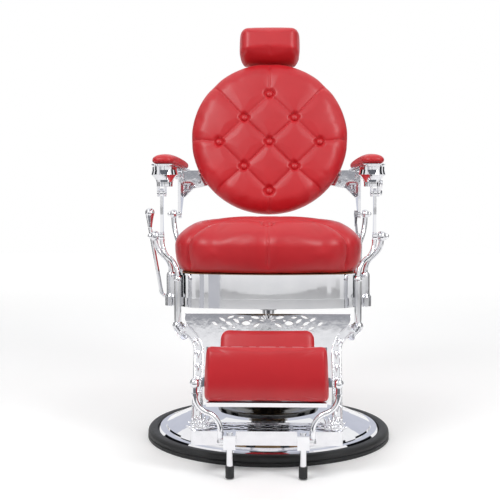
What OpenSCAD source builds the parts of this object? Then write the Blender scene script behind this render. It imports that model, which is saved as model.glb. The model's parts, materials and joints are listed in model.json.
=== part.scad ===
// Hydraulic barber chair. Millimetres, +Z up, the chair faces -Y, the origin is on the floor at the
// centre of the round base. Rest pose: lowest height, back upright, legrest hanging.

/* [Base and pump] */
// Outer radius of the rubber-trimmed base
base_r = 355; // [320:5:400]
// Height of the rubber trim ring
trim_h = 28; // [20:1:36]
// Radial width of the rubber trim ring
trim_w = 35; // [25:1:45]
// Height of the chrome dome at the foot of the pump cover
dome_h = 82; // [60:1:100]
// Radius of the foot of the pump cover
cover_r = 149; // [120:1:170]
// Height of the top of the pump cylinder
pump_top_z = 300; // [280:1:320]
// Outer radius of the pump reservoir
pump_r = 56; // [50:1:70]
// Radius of the lifting ram
ram_r = 18; // [14:0.5:22]
// Height that the pump lifts the seat
lift_travel = 170; // [100:5:175]

/* [Seat] */
// Height of the underside of the chrome seat band
band_z = 399; // [385:1:430]
// Height of the chrome seat band
band_h = 92; // [80:1:110]
// Half width of the chrome seat band
band_hw = 248; // [230:1:252]
// Front edge of the seat band at its middle
band_front = 250; // [240:1:256]
// Rear edge of the seat band
band_rear = 170; // [150:1:185]
// Wall thickness of the seat band
band_wall = 5; // [3:0.5:8]
// Half width of the seat cushion
cushion_hw = 264; // [240:1:268]
// Thickness of the seat cushion
cushion_h = 145; // [100:1:148]

/* [Side frames and linkage] */
// Height of the front pivots, where the side levers swing
front_pivot_z = 592; // [580:1:610]
// Distance of the front pivots ahead of the pump axis
front_pivot_y = 160; // [150:1:165]
// Height of the rear pivots, where the back reclines
rear_pivot_z = 648; // [645:1:660]
// Distance of the rear pivots behind the pump axis
rear_pivot_y = 200; // [195:1:215]
// Length of the levers from those pivots up to the armrests
link_l = 120; // [105:1:130]
// Radius of the pivot pins
pin_r = 5; // [4:0.5:6]
// Centre plane of the side levers, from the middle of the chair
lever_x = 294; // [290:0.5:298]
// Radial clearance of each turning fit
run_gap = 0.05; // [0.02:0.01:0.09]

/* [Back and headrest] */
// Lean of the back at rest, in degrees
back_lean = 14; // [8:1:18]
// Radius of the round back cushion
back_r = 256; // [230:1:256]
// Thickness of the back cushion
back_t = 80; // [60:1:90]
// Width of the headrest
head_w = 200; // [170:1:240]
// Height of the headrest
head_h = 112; // [90:1:130]

/* [Legrest and footrest] */
// Slope of the legrest from upright, in degrees
leg_lean = 24; // [20:1:26]
// Half width of the calf panel at its top
panel_hw = 224; // [200:1:226]
// Width of the foot pad
pad_w = 314; // [280:1:325]
// Height of the foot pad
pad_h = 141; // [110:1:150]
// Height of the foot pad's pivots
pad_pivot_z = 238; // [225:1:245]

/* [Armrests] */
// Distance of each armrest pad from the middle
arm_x = 282; // [277:0.5:285]
// Width of an armrest pad
arm_w = 64; // [50:1:66]
// Length of an armrest pad
arm_l = 440; // [380:5:450]

/* [Hidden] */
$fn = 64;

chrome = [0.86, 0.87, 0.90];
steel = [0.62, 0.63, 0.66];
iron = [0.30, 0.31, 0.33];
black = [0.08, 0.08, 0.09];
red = [0.82, 0.10, 0.13];
ply = [0.72, 0.55, 0.36];

// Base and pump values
plate_t = 3;
weight_t = 16;
weight_z = 0;
weight_top = weight_z + weight_t;
base_in_r = base_r - trim_w;
tube_r = ram_r + 6;
tube_wall = 6;
gland_h = 34;
ram_guided = 40; // ram left below the gland at full lift
ram_foot_z = pump_top_z - gland_h - lift_travel - ram_guided;
ram_top_z = band_z - 7;
seat_gap = 0.3;

// Seat values
hub_r = 34;
hub_z = ram_top_z - 16;
neck_r = ram_r + 5;
cavity_r = 14;
spider_z = band_z + 24;
spider_t = 14;
board_t = 12;
band_bow = 20;
band_corner_r = 88;
band_top = band_z + band_h;
cushion_corner_r = 118;
cushion_over = cushion_hw - band_hw;
cushion_z = band_top + seat_gap;
cushion_front = band_front + cushion_over - 4;
cushion_rear = band_rear + 8;
lug_x0 = band_hw + 8;
lug_x1 = band_hw + 34;
lug_r = (lug_x1 - lug_x0) / 2;
lug_mid = (lug_x0 + lug_x1) / 2;
rear_post_y = 152;

// Linkage values
P1 = [0, rear_pivot_y, rear_pivot_z];
P2 = [0, -front_pivot_y, front_pivot_z];
P3 = P1 + [0, 0, link_l];
P4 = P2 + [0, 0, link_l];
eye_r = 11;
lever_t = 8;
lever_rod_r = 6.5;
front_eye_x = lever_x + 19;
ball_r = eye_r + 3;
front_eye_in = lever_x + lever_rod_r + 3;
rear_eye_x = lever_x + 8;
bracket_x = rear_eye_x - 19;
bracket_t = 9;
lever_low_x = 245;
lever_foot_r = 10;
lever_low_y = 213;
leg_top = [0, -222, band_z - 16];

// Pump lever values
shaft_y = -hub_r - 8;
shaft_z = band_z + 14;
plunger_r = 6;
crank_nose_r = 4;
shaft_r = 6;
lever_out_x = -312;
knob_x = -344;
knob_z = 655;

// Foot values
step_z = 78;
step_h = 36;
step_front = -430;
step_rear = -338;
foot_x = 91;
foot_y = -452;
arm_low_x = foot_x + 24;
arm_pivot = [0, -446, 92];
knob_out_x = 178;
pad_y = -446;
tip_h = 29;
tip_lift = 3;

// Points of an arc about c, from angle a to angle b
function arc(c, r, a, b, n = 10) = [for (i = [0:n]) c + r * [cos(a + (b - a) * i / n), sin(a + (b - a) * i / n)]];

// Closed outline of a seat: straight sides, round corners and a bowed front
function seat_outline(hw, front, rear, bow, rf, rr) = concat(
    [for (i = [-6:6]) [i / 6 * (hw - rf), -front + bow * i * i / 36]],
    arc([hw - rf, -front + bow + rf], rf, -82, 0),
    arc([hw - rr, rear - rr], rr, 0, 90),
    arc([-hw + rr, rear - rr], rr, 90, 180),
    arc([-hw + rf, -front + bow + rf], rf, 180, 262));

// Closed outline of a rectangle with round corners, centred
function round_rect(w, h, r) = concat(
    arc([w / 2 - r, h / 2 - r], r, 0, 90, 6), arc([-w / 2 + r, h / 2 - r], r, 90, 180, 6),
    arc([-w / 2 + r, -h / 2 + r], r, 180, 270, 6), arc([w / 2 - r, -h / 2 + r], r, 270, 360, 6));

module ring(outer, inner, h) {
    difference() {
        cylinder(r = outer, h = h);
        translate([0, 0, -1]) cylinder(r = inner, h = h + 2);
    }
}

// Cylinder along X from x0 to x1 at [y, z]
module xbar(x0, x1, y, z, r) {
    translate([x0, y, z]) rotate([0, 90, 0]) cylinder(r = r, h = x1 - x0);
}

// Round rod between two points
module rod(a, b, r) {
    d = b - a;
    l = norm(d);
    translate(a) rotate([0, acos(d[2] / l), atan2(d[1], d[0])]) cylinder(r = r, h = l);
}

// Height and thickness of the small bead cast round each joint of a curved rod
bead_h = 4;
bead_t = 0.8;

// S-curved rod that starts at the origin going down -Z and ends d along +X and h below, going down,
// with a small cast bead at its middle and at each end
module s_rod(d, h, r) {
    half = 2 * atan(d / h);
    bend = h / (2 * sin(half));
    for (at = [[0, 0, 0], [d / 2, half, -h / 2], [d, 0, -h]])
        translate([at[0], 0, at[2]]) rotate([0, -at[1], 0]) cylinder(r = r + bead_t, h = bead_h, center = true);
    translate([bend, 0, 0]) rotate([90, 0, 0])
        rotate([0, 0, 180]) rotate_extrude(angle = half) translate([bend, 0]) circle(r = r);
    translate([d - bend, 0, -h]) rotate([90, 0, 0])
        rotate_extrude(angle = half) translate([bend, 0]) circle(r = r);
}

// Plate cut from a side outline of [y, z] points, from x0 to x1
module side_plate(x0, x1, pts) {
    translate([x0, 0, 0]) rotate([90, 0, 90]) linear_extrude(x1 - x0) polygon(pts);
}

// Everything that leans with the back is drawn in this frame: origin on the rear pivot, Z up the back
module back_frame() translate(P1) rotate([-back_lean, 0, 0]) children();

// Everything of the legrest panel is drawn in this frame: origin at the panel's top edge, Z up the panel
module leg_frame_at() translate(leg_top) rotate([-leg_lean, 0, 0]) children();

module both_sides() {
    children();
    mirror([1, 0, 0]) children();
}

// ---- Base and pump ----

flange_top = weight_top + 10;
gland_z = pump_top_z - gland_h;
gland_top = pump_top_z + 16;
bolt_ring_r = pump_r + 18;
bolt_r = 4;

// Height of the top of the chrome dome at radius r
function dome_z(r) = trim_h + 8 + (dome_h - trim_h - 8) * cos(90 * (r - cover_r + 9) / (base_in_r - 20 - cover_r + 9));

module base_plate() color(chrome) rotate_extrude($fn = 128) {
    outer = base_in_r - 20;
    inner = cover_r - 9;
    top = concat([[base_in_r + 8, trim_h - 8], [base_in_r - 1, trim_h + 1], [outer + 2, trim_h + 3]],
        [for (i = [0:8]) let (r = outer + (inner - outer) * i / 8) [r, dome_z(r)]]);
    n = len(top);
    polygon(concat(top, [for (i = [n - 1:-1:0]) top[i] - [0, plate_t]]));
}

module base_trim() color(black) rotate_extrude($fn = 128) {
    groove = base_in_r + 8;
    polygon(concat([[base_in_r, 0], [base_r, 0]],
        // a shallow groove round the outside parts the ring into two beads
        [[base_r, 8], [base_r - 2.5, 10.5], [base_r - 0.5, 13]],
        arc([base_r - 12.5, trim_h - 12], 12, 0, 90, 5),
        [[base_in_r + 12, trim_h], [base_in_r + 6, trim_h - 3], [groove, trim_h - 8], [groove, trim_h - 8 - plate_t], [base_in_r, trim_h - 3 - plate_t]]));
}

module base_weight() color(iron) difference() {
    translate([0, 0, weight_z]) cylinder(r = base_in_r - 0.5, h = weight_t, $fn = 128);
    bolt_places(bolt_ring_r) cylinder(r = bolt_r, h = weight_top + 1);
}

module bolt_places(r, count = 4) for (i = [0:count - 1]) rotate(45 + 360 * i / count) translate([r, 0, 0]) children();

module pump_cylinder() color(steel) difference() {
    union() {
        translate([0, 0, weight_top]) cylinder(r = bolt_ring_r + 14, h = 10);
        translate([0, 0, weight_top]) cylinder(r = pump_r, h = pump_top_z - weight_top);
    }
    translate([0, 0, flange_top]) cylinder(r = pump_r - 6, h = pump_top_z);
    bolt_places(bolt_ring_r) cylinder(r = bolt_r, h = flange_top + 1);
}

module pressure_tube() color(steel) translate([0, 0, flange_top]) ring(tube_r + tube_wall, tube_r, gland_z - flange_top);

// The cover is a thin bell: a wide foot that curves in to a sleeve round the cylinder
module pump_cover() color(black) rotate_extrude($fn = 96) {
    neck = pump_r + 4;
    curve_r = cover_r - neck - 6;
    foot_z = dome_h + 0.2;
    outer = concat([[cover_r, foot_z], [cover_r, foot_z + 6]],
        arc([neck + curve_r + 3, foot_z + 8 + curve_r], curve_r, 270, 180, 10), [[neck + 3, pump_top_z - 4]]);
    inner = concat([[neck, pump_top_z - 4]], arc([neck + curve_r + 3, foot_z + 8 + curve_r], curve_r + 3, 180, 270, 10),
        [[cover_r - 3, foot_z + 5], [cover_r - 3, foot_z]]);
    polygon(concat(outer, inner));
}

module pump_gland() color(chrome) difference() {
    union() {
        translate([0, 0, gland_z]) cylinder(r = pump_r - 6, h = gland_h);
        translate([0, 0, pump_top_z]) cylinder(r = pump_r, h = 8);
        translate([0, 0, pump_top_z]) cylinder(r = ram_r + 14, h = gland_top - pump_top_z);
    }
    cylinder(r = ram_r + run_gap, h = gland_top + 1);
    translate([0, 0, gland_top - 10]) cylinder(r = ram_r + 5, h = 6);
}

module rod_seal() color(black) translate([0, 0, gland_top - 10]) ring(ram_r + 5, ram_r + run_gap, 6);

module pump_bolts() color(steel) bolt_places(bolt_ring_r) {
    translate([0, 0, weight_z + 2]) cylinder(r = bolt_r, h = flange_top - weight_z - 2);
    translate([0, 0, flange_top]) cylinder(r = 7, h = 6, $fn = 6);
}

// ---- Ram ----

module ram() color(chrome) difference() {
    translate([0, 0, ram_foot_z]) cylinder(r = ram_r, h = ram_top_z - ram_foot_z);
    translate([0, 0, ram_top_z - 120]) cylinder(r = plunger_r + run_gap, h = 121);
}

module ram_piston() color(steel) difference() {
    translate([0, 0, ram_foot_z - 26]) cylinder(r = tube_r - run_gap, h = 26);
    translate([0, 0, ram_foot_z - 17]) ring(tube_r + 1, tube_r - 4, 8);
}

module piston_ring() color(black) translate([0, 0, ram_foot_z - 17]) ring(tube_r - run_gap, tube_r - 4, 8);

// ---- Swivelling seat frame ----

module swivel_bearing() color(steel) translate([0, 0, hub_z - 7]) ring(neck_r + 2, ram_r + run_gap, 7);

module swivel_hub() color(iron) difference() {
    union() {
        translate([0, 0, hub_z]) cylinder(r = neck_r, h = 12);
        translate([0, 0, hub_z + 12]) cylinder(r = hub_r, h = spider_z - hub_z - 12);
    }
    cylinder(r = ram_r + run_gap, h = ram_top_z + run_gap);
    cylinder(r = cavity_r, h = spider_z + 1);
    translate([-7, -hub_r - 1, ram_top_z]) cube([14, hub_r + 1, spider_z]);
}

spider_hw = 18;
spider_reach = (min(band_hw, band_rear) - band_wall - 2.5) * sqrt(2) - spider_hw - 4;

module spider_ends() for (a = [45:90:315]) rotate(a) translate([spider_reach - spider_hw, 0, 0]) children();

module seat_spider() color(iron) difference() {
    union() {
        for (a = [45, 135]) rotate(a) translate([-spider_reach, -spider_hw, spider_z]) cube([2 * spider_reach, 2 * spider_hw, spider_t]);
        spider_ends() translate([0, 0, spider_z]) cylinder(r = 16, h = band_top - board_t - spider_z);
        translate([-112, shaft_y - 13, shaft_z - 12]) cube([16, 26, spider_z - shaft_z + 12]);
        translate([-112, shaft_y - 13, spider_z]) cube([70, 26, spider_t]);
    }
    xbar(-113, -95, shaft_y, shaft_z, shaft_r + run_gap);
    spider_ends() cylinder(r = bolt_r, h = band_top);
}

module seat_bolts() color(steel) spider_ends() {
    translate([0, 0, spider_z - 6]) cylinder(r = 8, h = 6, $fn = 6);
    translate([0, 0, spider_z]) cylinder(r = bolt_r, h = band_top - board_t + 8 - spider_z);
}

module band_outline(inset) polygon(seat_outline(band_hw - inset, band_front - inset, band_rear - inset, band_bow,
    band_corner_r - inset, 60 - inset));

band_step_h = 26;
band_lip_h = 5;

module seat_band() color(chrome) difference() {
    union() {
        translate([0, 0, band_z]) linear_extrude(band_step_h) band_outline(0);
        translate([0, 0, band_z + band_step_h]) linear_extrude(band_h - band_step_h - band_lip_h) band_outline(2.5);
        translate([0, 0, band_top - band_lip_h]) linear_extrude(band_lip_h) band_outline(0);
    }
    translate([0, 0, band_z - 1]) linear_extrude(band_h + 2) band_outline(band_wall + 2.5);
    xbar(-band_hw - 1, -band_hw + 20, shaft_y, shaft_z, shaft_r + 2);
    both_sides() frame_bolt_places() xbar(0, 30, 0, 0, bolt_r);
}

module seat_board() color(ply) difference() {
    translate([0, 0, band_top - board_t]) linear_extrude(board_t) band_outline(band_wall + 2.5);
    spider_ends() cylinder(r = bolt_r, h = band_top - board_t + 8);
}

module seat_cushion() color(red) translate([0, 0, cushion_z]) linear_extrude(cushion_h)
    polygon(seat_outline(cushion_hw, cushion_front, cushion_rear, band_bow, cushion_corner_r, 60));

// ---- Side frames: a casting on each side of the band, with a horn up to each pivot ----

rear_off = [rear_eye_x - lug_mid, rear_pivot_y - rear_post_y];

// Ball at the top of a horn, faced flat where the pin comes through
module horn_ball(p, x0, x1) intersection() {
    translate(p) sphere(r = ball_r);
    translate([x0, p[1] - ball_r, p[2] - ball_r]) cube([x1 - x0, 2 * ball_r, 2 * ball_r]);
}

module side_frame() color(chrome) difference() {
    union() {
        translate([band_hw + 0.1, -front_pivot_y - 14, band_z]) cube([8, front_pivot_y + rear_post_y + 28, band_h]);
        for (y = [-front_pivot_y, rear_post_y]) {
            translate([band_hw + 1, y - lug_r, band_z]) cube([lug_mid - band_hw - 1, 2 * lug_r, band_h - 12]);
            // round column with a wide foot and a domed shoulder under the horn
            translate([lug_mid, y, band_z]) rotate_extrude() polygon(concat(
                [[0, 0], [lug_r + 4, 0], [lug_r + 4, band_step_h], [lug_r, band_step_h + 8]],
                arc([0, band_h - 8], lug_r, 0, 45, 4), [[0, band_h + 4]]));
        }
        translate([front_eye_x, -front_pivot_y, front_pivot_z - eye_r + 2]) rotate(180)
            s_rod(front_eye_x - lug_mid, front_pivot_z - eye_r + 2 - band_top, 7);
        translate([rear_eye_x, rear_pivot_y, rear_pivot_z - eye_r + 2]) rotate(180 + atan2(rear_off[1], rear_off[0]))
            s_rod(norm(rear_off), rear_pivot_z - eye_r + 2 - band_top, 8);
        horn_ball([front_eye_x, -front_pivot_y, front_pivot_z], front_eye_in, front_eye_x + 10);
        horn_ball([rear_eye_x, rear_pivot_y, rear_pivot_z], rear_eye_x - 9, rear_eye_x + 9);
    }
    xbar(0, front_eye_x + 11, -front_pivot_y, front_pivot_z, pin_r);
    xbar(0, rear_eye_x + 10, rear_pivot_y, rear_pivot_z, pin_r);
    xbar(0, lug_x1, shaft_y, shaft_z, shaft_r + 2);
    frame_bolt_places() xbar(0, 60, 0, 0, bolt_r);
}

module frame_bolt_places() for (y = [-100, 60, 110]) translate([band_hw - 20, y, band_z + 60]) children();

pawl_y = rear_post_y - 20;
pawl_z = rear_pivot_z - 63;
pawl_x = 268;
post_x = lug_x1 + 1;

module side_frame_left() mirror([1, 0, 0]) side_frame();

// The right side frame also carries the post on which the recline pawl turns
module side_frame_right() {
    side_frame();
    color(chrome) {
        translate([lug_x0 + 6, pawl_y - 6, band_z + 60]) cube([post_x - lug_x0 - 2, 15, 20]);
        translate([post_x, pawl_y, band_z + 60]) cylinder(r = 4, h = pawl_z - band_z - 60);
        xbar(pawl_x - 2, post_x + 4, pawl_y, pawl_z, 4);
    }
}

module frame_bolts() color(steel) both_sides() frame_bolt_places() {
    xbar(20 - band_wall, 28.1, 0, 0, bolt_r);
    translate([28.1, 0, 0]) rotate([0, 90, 0]) cylinder(r = 7, h = 5, $fn = 6);
}

// Shouldered pins pressed into the horns; each ends in a domed head outside
module pivot_pins() color(chrome) both_sides() {
    pivot_pin(lever_x - 6, front_eye_x + 10, P2);
    pivot_pin(bracket_x - 6, rear_eye_x + 9, P1);
}

module pivot_pin(x0, x1, p) {
    xbar(x0, x1, p[1], p[2], pin_r);
    xbar(x1, x1 + 3, p[1], p[2], eye_r - 2);
    translate([x1 + 3, p[1], p[2]]) rotate([0, 90, 0]) difference() {
        sphere(r = eye_r - 3);
        translate([-eye_r, -eye_r, -eye_r]) cube([2 * eye_r, 2 * eye_r, eye_r]);
    }
}

// ---- Pump lever ----

lever_bend_r = 14;
knob_neck = 42;

module pump_lever() color(chrome) {
    xbar(lever_out_x + lever_bend_r, crank_nose_r, shaft_y, shaft_z, shaft_r);
    xbar(-5, 5, 0, shaft_z, crank_nose_r);
    translate([-5, shaft_y, shaft_z - crank_nose_r]) cube([10, -shaft_y, 2 * crank_nose_r]);
    translate([lever_out_x + lever_bend_r, shaft_y, shaft_z + lever_bend_r]) rotate([90, 0, 0])
        rotate([0, 0, 180]) rotate_extrude(angle = 90) translate([lever_bend_r, 0]) circle(r = shaft_r);
    rod([lever_out_x, shaft_y, shaft_z + lever_bend_r], [knob_x, shaft_y, knob_z - knob_neck - 0.8], shaft_r - 0.5);
    translate([lever_out_x, shaft_y, shaft_z + lever_bend_r]) sphere(r = shaft_r);
}

// Teardrop grip screwed on the top of the lever
module pump_knob() color(chrome) translate([knob_x, shaft_y, knob_z]) rotate_extrude()
    polygon(concat([[0, -knob_neck], [shaft_r, -knob_neck], [shaft_r + 3, -22]], arc([0, 0], 14, -30, 90, 10)));

plunger_gap = 1;

module pump_plunger() color(steel) {
    translate([0, 0, ram_top_z - 60]) cylinder(r = plunger_r, h = shaft_z - crank_nose_r - plunger_gap - ram_top_z + 60);
}

// ---- Back ----

board_y = back_t / 2 + 0.2;
shell_y = board_y + board_t;
arm_y = shell_y + 8;
arm_t = 8;
back_z = back_r - 6;
top_eye = [-link_l * sin(back_lean), link_l * cos(back_lean)];
bolt_spots = [for (x = [204, 228], z = [122, 147]) [x, z]];

module ydisc(y0, y1, r, z = back_z) translate([0, y1, z]) rotate([90, 0, 0]) cylinder(r = r, h = y1 - y0, $fn = 128);

module back_bracket() color(chrome) back_frame() difference() {
    x0 = bracket_x - bracket_t / 2;
    x1 = bracket_x + bracket_t / 2;
    union() {
        xbar(x0, x1, 0, 0, eye_r + 3);
        xbar(x0, x1, top_eye[0], top_eye[1], eye_r + 1);
        side_plate(x0, x1, [[-13, 2], [4, -13], [arm_y, 64], [arm_y + arm_t, 70], [arm_y + arm_t, 148], [arm_y, 150],
            [top_eye[0] + 4, top_eye[1] + 11], [top_eye[0] - 11, top_eye[1] - 3]]);
        // strap behind the back, cut away underneath towards the middle
        translate([0, arm_y + arm_t, 0]) rotate([90, 0, 0]) linear_extrude(arm_t)
            polygon([[x1, 64], [x1 - 14, 72], [x1 - 40, 100], [190, 112], [190, 160], [x1, 160]]);
    }
    xbar(x0 - 1, x1 + 1, 0, 0, pin_r + run_gap);
    xbar(x0 - 1, x1 + 1, top_eye[0], top_eye[1], pin_r + run_gap);
    for (p = bolt_spots) translate([p[0], arm_y + arm_t + 1, p[1]]) rotate([90, 0, 0]) cylinder(r = bolt_r, h = arm_t + 2);
}

module back_bracket_left() mirror([1, 0, 0]) back_bracket();
module back_bracket_right() back_bracket();

module back_holes() both_sides() for (p = bolt_spots)
    translate([p[0], arm_y + 1, p[1]]) rotate([90, 0, 0]) cylinder(r = bolt_r, h = 30);

module bracket_bolts() color(steel) back_frame() both_sides() for (p = bolt_spots) {
    translate([p[0], arm_y + arm_t, p[1]]) rotate([90, 0, 0]) cylinder(r = bolt_r, h = arm_t + 12);
    translate([p[0], arm_y + arm_t + 5, p[1]]) rotate([90, 0, 0]) cylinder(r = 7, h = 5, $fn = 6);
}

quadrant_r = 42;
tooth_h = 4;
tooth_step = 6;

// Toothed quadrant round the right rear pivot, bolted to the inner face of the bracket
module recline_quadrant() color(steel) back_frame() difference() {
    a0 = 225 - back_lean - tooth_step;
    teeth = [for (i = [0:9], r = [quadrant_r, quadrant_r - tooth_h])
        let (a = a0 + tooth_step * (i + (r == quadrant_r ? 0.2 : 0.9))) r * [cos(a), sin(a)]];
    union() {
        side_plate(pawl_x, pawl_x + 6, concat([[0, 0]], teeth));
        xbar(pawl_x, bracket_x - bracket_t / 2, 0, 0, eye_r);
    }
    xbar(pawl_x - 1, bracket_x, 0, 0, pin_r + 0.5);
}

module back_board() color(ply) back_frame() difference() {
    ydisc(board_y, shell_y, back_r - 22);
    back_holes();
}

module back_shell() color(red) back_frame() difference() {
    ydisc(shell_y, arm_y, back_r - 20);
    back_holes();
    socket_places() translate([0, 0, 20]) rotate([90, 0, 0]) cylinder(r = 3, h = 60, center = true);
}

module back_cushion() color(red) back_frame() ydisc(-back_t / 2, back_t / 2, back_r);

button_pitch = 160;
button_drop = 22;

module back_buttons() color(red) back_frame() {
    half = button_pitch / 2;
    for (p = [[0, 0], [button_pitch, 0], [-button_pitch, 0], [0, button_pitch], [0, -button_pitch],
            [half, half], [-half, half], [half, -half], [-half, -half]])
        translate([p[0], 0, 0]) ydisc(-back_t / 2 - 5, -back_t / 2, 11.5, back_z + p[1] - button_drop);
}

// ---- Headrest: two posts that slide in sockets on the back ----

post_r = 6;
post_at = [45, arm_y + 13];
head_z = 2 * back_r - 2;
socket_z = 370;

module socket_places() for (x = [-post_at[0], post_at[0]]) translate([x, post_at[1], socket_z]) children();

module headrest_sockets() color(steel) back_frame() difference() {
    union() {
        socket_places() cylinder(r = post_r + 5, h = 95);
        translate([-post_at[0] - 20, arm_y, socket_z + 10]) cube([2 * post_at[0] + 40, 5, 70]);
    }
    socket_places() translate([0, 0, -1]) cylinder(r = post_r + run_gap, h = 100);
}

// Welded frame: two posts, a block across them and the plate behind the pad
module headrest_frame() color(chrome) back_frame() {
    socket_places() cylinder(r = post_r, h = head_z + 70 - socket_z);
    translate([-post_at[0] - 18, 50.3, head_z + 25]) cube([2 * post_at[0] + 36, 5, 70]);
    translate([-post_at[0] - 12, 50.3, head_z + 35]) cube([2 * post_at[0] + 24, post_at[1] - 40, 30]);
}

module headrest_cushion() color(red) back_frame() translate([0, 50, head_z + head_h / 2]) rotate([90, 0, 0])
    linear_extrude(70) polygon(round_rect(head_w, head_h, 22));

// ---- Legrest: side levers, leg frames, panel, pad and step turn together about the front pivots ----

lever_low_z = band_z - 48;
lever_off = [lever_low_x - lever_x, front_pivot_y - lever_low_y];
knee_world = [lever_low_x, -lever_low_y, lever_low_z];
knee_local = [222, 0, -62];

// A point given in the legrest frame, in the chair's own frame
function from_leg(p) = leg_top + [p[0], p[1] * cos(leg_lean) + p[2] * sin(leg_lean), -p[1] * sin(leg_lean) + p[2] * cos(leg_lean)];

module side_lever() color(chrome) difference() {
    x0 = lever_x - lever_t / 2;
    x1 = lever_x + lever_t / 2;
    s_top = front_pivot_z - eye_r;
    s_low = band_top - 10;
    union() {
        xbar(x0 - 1, x1 + 1, P2[1], P2[2], eye_r + 2);
        xbar(x0, x1, P4[1], P4[2], eye_r + 1);
        side_plate(x0, x1, [[P2[1] - 9, P2[2] + 8], [P2[1] + 9, P2[2] + 8], [P2[1] + 5, P2[2] + link_l / 2],
            [P4[1] + 9, P4[2] - 6], [P4[1] - 9, P4[2] - 6], [P2[1] - 5, P2[2] + link_l / 2]]);
        translate([lever_x, P2[1], s_top]) rotate(atan2(lever_off[1], lever_off[0]))
            s_rod(norm(lever_off), s_top - s_low, lever_rod_r);
        translate([lever_low_x, -lever_low_y, lever_low_z]) cylinder(r = lever_foot_r, h = s_low - lever_low_z);
        translate([lever_low_x, -lever_low_y, s_low - 4]) sphere(r = lever_foot_r + 1);
    }
    xbar(x0 - 2, x1 + 2, P2[1], P2[2], pin_r + run_gap);
    xbar(x0 - 1, x1 + 1, P4[1], P4[2], pin_r + 0.5);
}

module side_lever_left() mirror([1, 0, 0]) side_lever();
module side_lever_right() side_lever();

leg_out = arc([252, -108], 56, 105, 180, 8);
leg_in = arc([258, -112], 88, 180, 118, 8);
leg_t = 18;

// The knee is a collared elbow that grips the foot of the lever and turns into the leg
module leg_casting() color(chrome) difference() {
    union() {
        leg_frame_at() translate([0, leg_t / 2, 0]) rotate([90, 0, 0]) linear_extrude(leg_t)
            polygon(concat(leg_out, [[196, -310], [168, -310]], leg_in));
        knee_end = from_leg(knee_local);
        rod(knee_world - [0, 0, 2], knee_end, lever_foot_r + 3);
        translate(knee_world - [0, 0, 2]) sphere(r = lever_foot_r + 5);
        for (t = [0.3, 0.52]) {
            d = (knee_end - knee_world) / norm(knee_end - knee_world);
            a = knee_world + (knee_end - knee_world) * t;
            rod(a, a + 5 * d, lever_foot_r + 7 - 6 * (t - 0.3));
        }
    }
    translate([lever_low_x, -lever_low_y, lever_low_z]) cylinder(r = lever_foot_r, h = 80);
    translate([0, step_front - 50, step_z - 60]) cube([400, 200, step_h + 60]);
}

module leg_frame_left() mirror([1, 0, 0]) leg_casting();
module leg_frame_right() leg_casting();

panel_t = 4;

// A leaf-shaped hole of length l and width w, pointing along the angle a
module leaf(p, l, w, a) {
    r = (l * l + w * w) / (4 * w);
    translate(p) rotate(a) intersection() {
        translate([0, r - w / 2]) circle(r = r);
        translate([0, -r + w / 2]) circle(r = r);
    }
}

// Sunburst of petals in the middle, with leaves, drops and diamonds running out to each side
module filigree() {
    for (a = [-70:20:70]) leaf([17 * sin(a), -24 + 17 * cos(a)], 15, 4.4, 90 - a);
    for (s = [-1, 1]) {
        leaf([s * 34, -10], 26, 8, s * 12);
        leaf([s * 30, -32], 22, 8, -s * 32);
        leaf([s * 58, -26], 24, 13, 0);
        leaf([s * 72, -10], 18, 6, s * 8);
        leaf([s * 84, -20], 20, 8, s * 38);
        leaf([s * 100, -9], 22, 7, -s * 20);
        leaf([s * 104, -27], 22, 8, s * 30);
        leaf([s * 122, -16], 20, 7, s * 34);
        leaf([s * 118, -40], 20, 7, s * 26);
        leaf([s * 142, -28], 18, 7, s * 40);
        translate([s * 46, -19]) circle(r = 3);
        translate([s * 92, -38]) circle(r = 3);
    }
}

module calf_panel() color(chrome) leg_frame_at() translate([0, panel_t / 2, 0]) rotate([90, 0, 0]) linear_extrude(panel_t)
    difference() {
        edge = concat([[168, -175]], leg_in, [[panel_hw, -16], [panel_hw, 0]]);
        n = len(edge);
        polygon(concat(edge, [for (i = [n - 1:-1:0]) [-edge[i][0], edge[i][1]]]));
        filigree();
    }

calf_w = 258;
calf_h = 140;
calf_t = 30;

module calf_pad() color(red) leg_frame_at() translate([0, -panel_t / 2 - seat_gap, -47 - calf_h / 2]) rotate([90, 0, 0])
    linear_extrude(calf_t) polygon(round_rect(calf_w, calf_h, 24));

step_hw = 191;
step_wall = 6;

// Hollow casting that joins the two legs, open on top
module foot_step() color(chrome) difference() {
    depth = step_rear - step_front;
    mid_y = (step_rear + step_front) / 2;
    translate([0, mid_y, step_z]) linear_extrude(step_h) polygon(round_rect(2 * step_hw, depth, 10));
    translate([0, mid_y, step_z + 6]) linear_extrude(step_h) polygon(round_rect(2 * 156, depth - 2 * step_wall, 6));
    boss_places() translate([0, -20, step_h / 2]) rotate([-90, 0, 0]) cylinder(r = 4, h = 50);
}

module boss_places() for (s = [-1, 1]) translate([s * foot_x, step_front, step_z]) children();

// Openwork tread that drops into the step: bars and rings between two rails
module step_grille() color(chrome) translate([0, (step_rear + step_front) / 2, step_z + step_h - 8]) linear_extrude(6)
    difference() {
        w = 2 * 156 - 1;
        d = step_rear - step_front - 2 * step_wall - 1;
        polygon(round_rect(w, d, 5.5));
        for (i = [-3:3]) {
            translate([i * 42, 0]) for (s = [-1, 1]) {
                leaf([s * 11, 15], 30, 15, s * 35);
                leaf([s * 11, -18], 30, 15, -s * 35);
            }
        }
        for (i = [-3:2]) translate([(i + 0.5) * 42, -1]) circle(r = 6);
    }

leg_boss_hw = 15;
hinge_pin_r = 4;
foot_leg_r = 8;
tip_socket = 16;

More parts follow.
